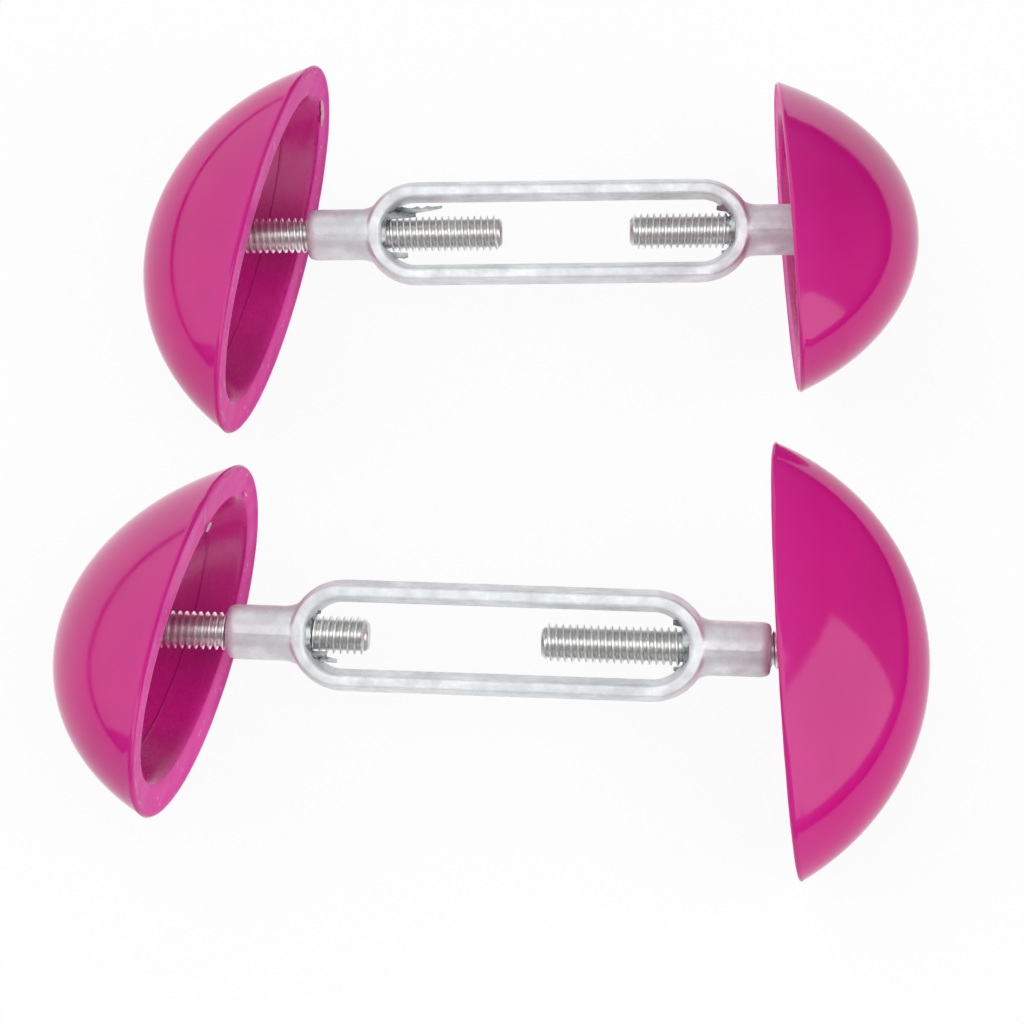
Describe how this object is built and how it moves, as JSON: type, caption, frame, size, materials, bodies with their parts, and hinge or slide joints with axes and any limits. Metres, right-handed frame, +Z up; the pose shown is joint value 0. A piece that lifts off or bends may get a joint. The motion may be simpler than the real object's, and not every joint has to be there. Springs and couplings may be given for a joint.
{
  "type": "shoe stretcher",
  "caption": "Screw shoe stretchers laid as a pair: open turnbuckles, each between half-egg domes on threaded studs of opposite hand, turned to push the domes apart.",
  "frame": {"origin": "middle of the pair's bounding box, on the table the pair lies on", "axes": "+X to the right along the stretchers, +Y from the front stretcher to the back one, +Z up from the table"},
  "size_m": [0.1126, 0.1222, 0.0338],
  "materials": {
    "zinc_casting": "matt die-cast metal, mottled, as cast",
    "plated_steel": "bright zinc-plated rolled thread",
    "magenta_plastic": "glossy moulded plastic, fuchsia",
    "plated_nut": "bright zinc plating",
    "plated_washer": "bright zinc plating"
  },
  "bodies": {
    "back_frame": {"back_turnbuckle": "zinc_casting"},
    "front_frame": {"front_turnbuckle": "zinc_casting"},
    "back_long_carrier": {"back_long_washer": "plated_washer"},
    "back_long_screw": {"back_long_stud": "plated_steel", "back_long_nut": "plated_nut", "back_long_dome": "magenta_plastic"},
    "back_short_carrier": {"back_short_washer": "plated_washer"},
    "back_short_screw": {"back_short_stud": "plated_steel", "back_short_nut": "plated_nut", "back_short_dome": "magenta_plastic"},
    "front_long_carrier": {"front_long_washer": "plated_washer"},
    "front_long_screw": {"front_long_stud": "plated_steel", "front_long_nut": "plated_nut", "front_long_dome": "magenta_plastic"},
    "front_short_carrier": {"front_short_washer": "plated_washer"},
    "front_short_screw": {"front_short_stud": "plated_steel", "front_short_nut": "plated_nut", "front_short_dome": "magenta_plastic"}
  },
  "joints": [
    {"name": "front_lift", "type": "slide", "parent": "back_frame", "child": "front_frame", "axis": [0, 0, 1], "range_m": [0, 0.08]},
    {"name": "back_long_travel", "type": "slide", "parent": "back_frame", "child": "back_long_carrier", "axis": [-0.9993, -0.0209, -0.0307], "range_m": [-0.01081, 0.02161]},
    {"name": "back_long_turn", "type": "hinge", "parent": "back_long_carrier", "child": "back_long_screw", "pos_m": [-0.04371, 0.0319, 0.01462], "axis": [-0.9993, -0.0209, -0.0307], "range_deg": [-4320, 8640]},
    {"name": "back_short_travel", "type": "slide", "parent": "back_frame", "child": "back_short_carrier", "axis": [0.9993, 0.0209, 0.0307], "range_m": [-0.00361, 0.01981]},
    {"name": "back_short_turn", "type": "hinge", "parent": "back_short_carrier", "child": "back_short_screw", "pos_m": [0.04911, 0.03385, 0.01747], "axis": [0.9993, 0.0209, 0.0307], "range_deg": [-7920, 1440]},
    {"name": "front_long_travel", "type": "slide", "parent": "front_frame", "child": "front_long_carrier", "axis": [0.9993, -0.0227, 0.0283], "range_m": [-0.00901, 0.02431]},
    {"name": "front_long_turn", "type": "hinge", "parent": "front_long_carrier", "child": "front_long_screw", "pos_m": [0.04851, -0.03303, 0.01848], "axis": [0.9993, -0.0227, 0.0283], "range_deg": [-3600, 9720]},
    {"name": "front_short_travel", "type": "slide", "parent": "front_frame", "child": "front_short_carrier", "axis": [-0.9993, 0.0227, -0.0283], "range_m": [-0.00991, 0.01261]},
    {"name": "front_short_turn", "type": "hinge", "parent": "front_short_carrier", "child": "front_short_screw", "pos_m": [-0.04881, -0.03083, 0.01572], "axis": [-0.9993, 0.0227, -0.0283], "range_deg": [-5040, 3960]}
  ],
  "couplings": [
    {"joint": "back_long_travel", "follows": "back_long_turn", "m_per_rad": 0.00014324},
    {"joint": "back_short_travel", "follows": "back_short_turn", "m_per_rad": -0.00014324},
    {"joint": "front_long_travel", "follows": "front_long_turn", "m_per_rad": 0.00014324},
    {"joint": "front_short_travel", "follows": "front_short_turn", "m_per_rad": -0.00014324}
  ]
}
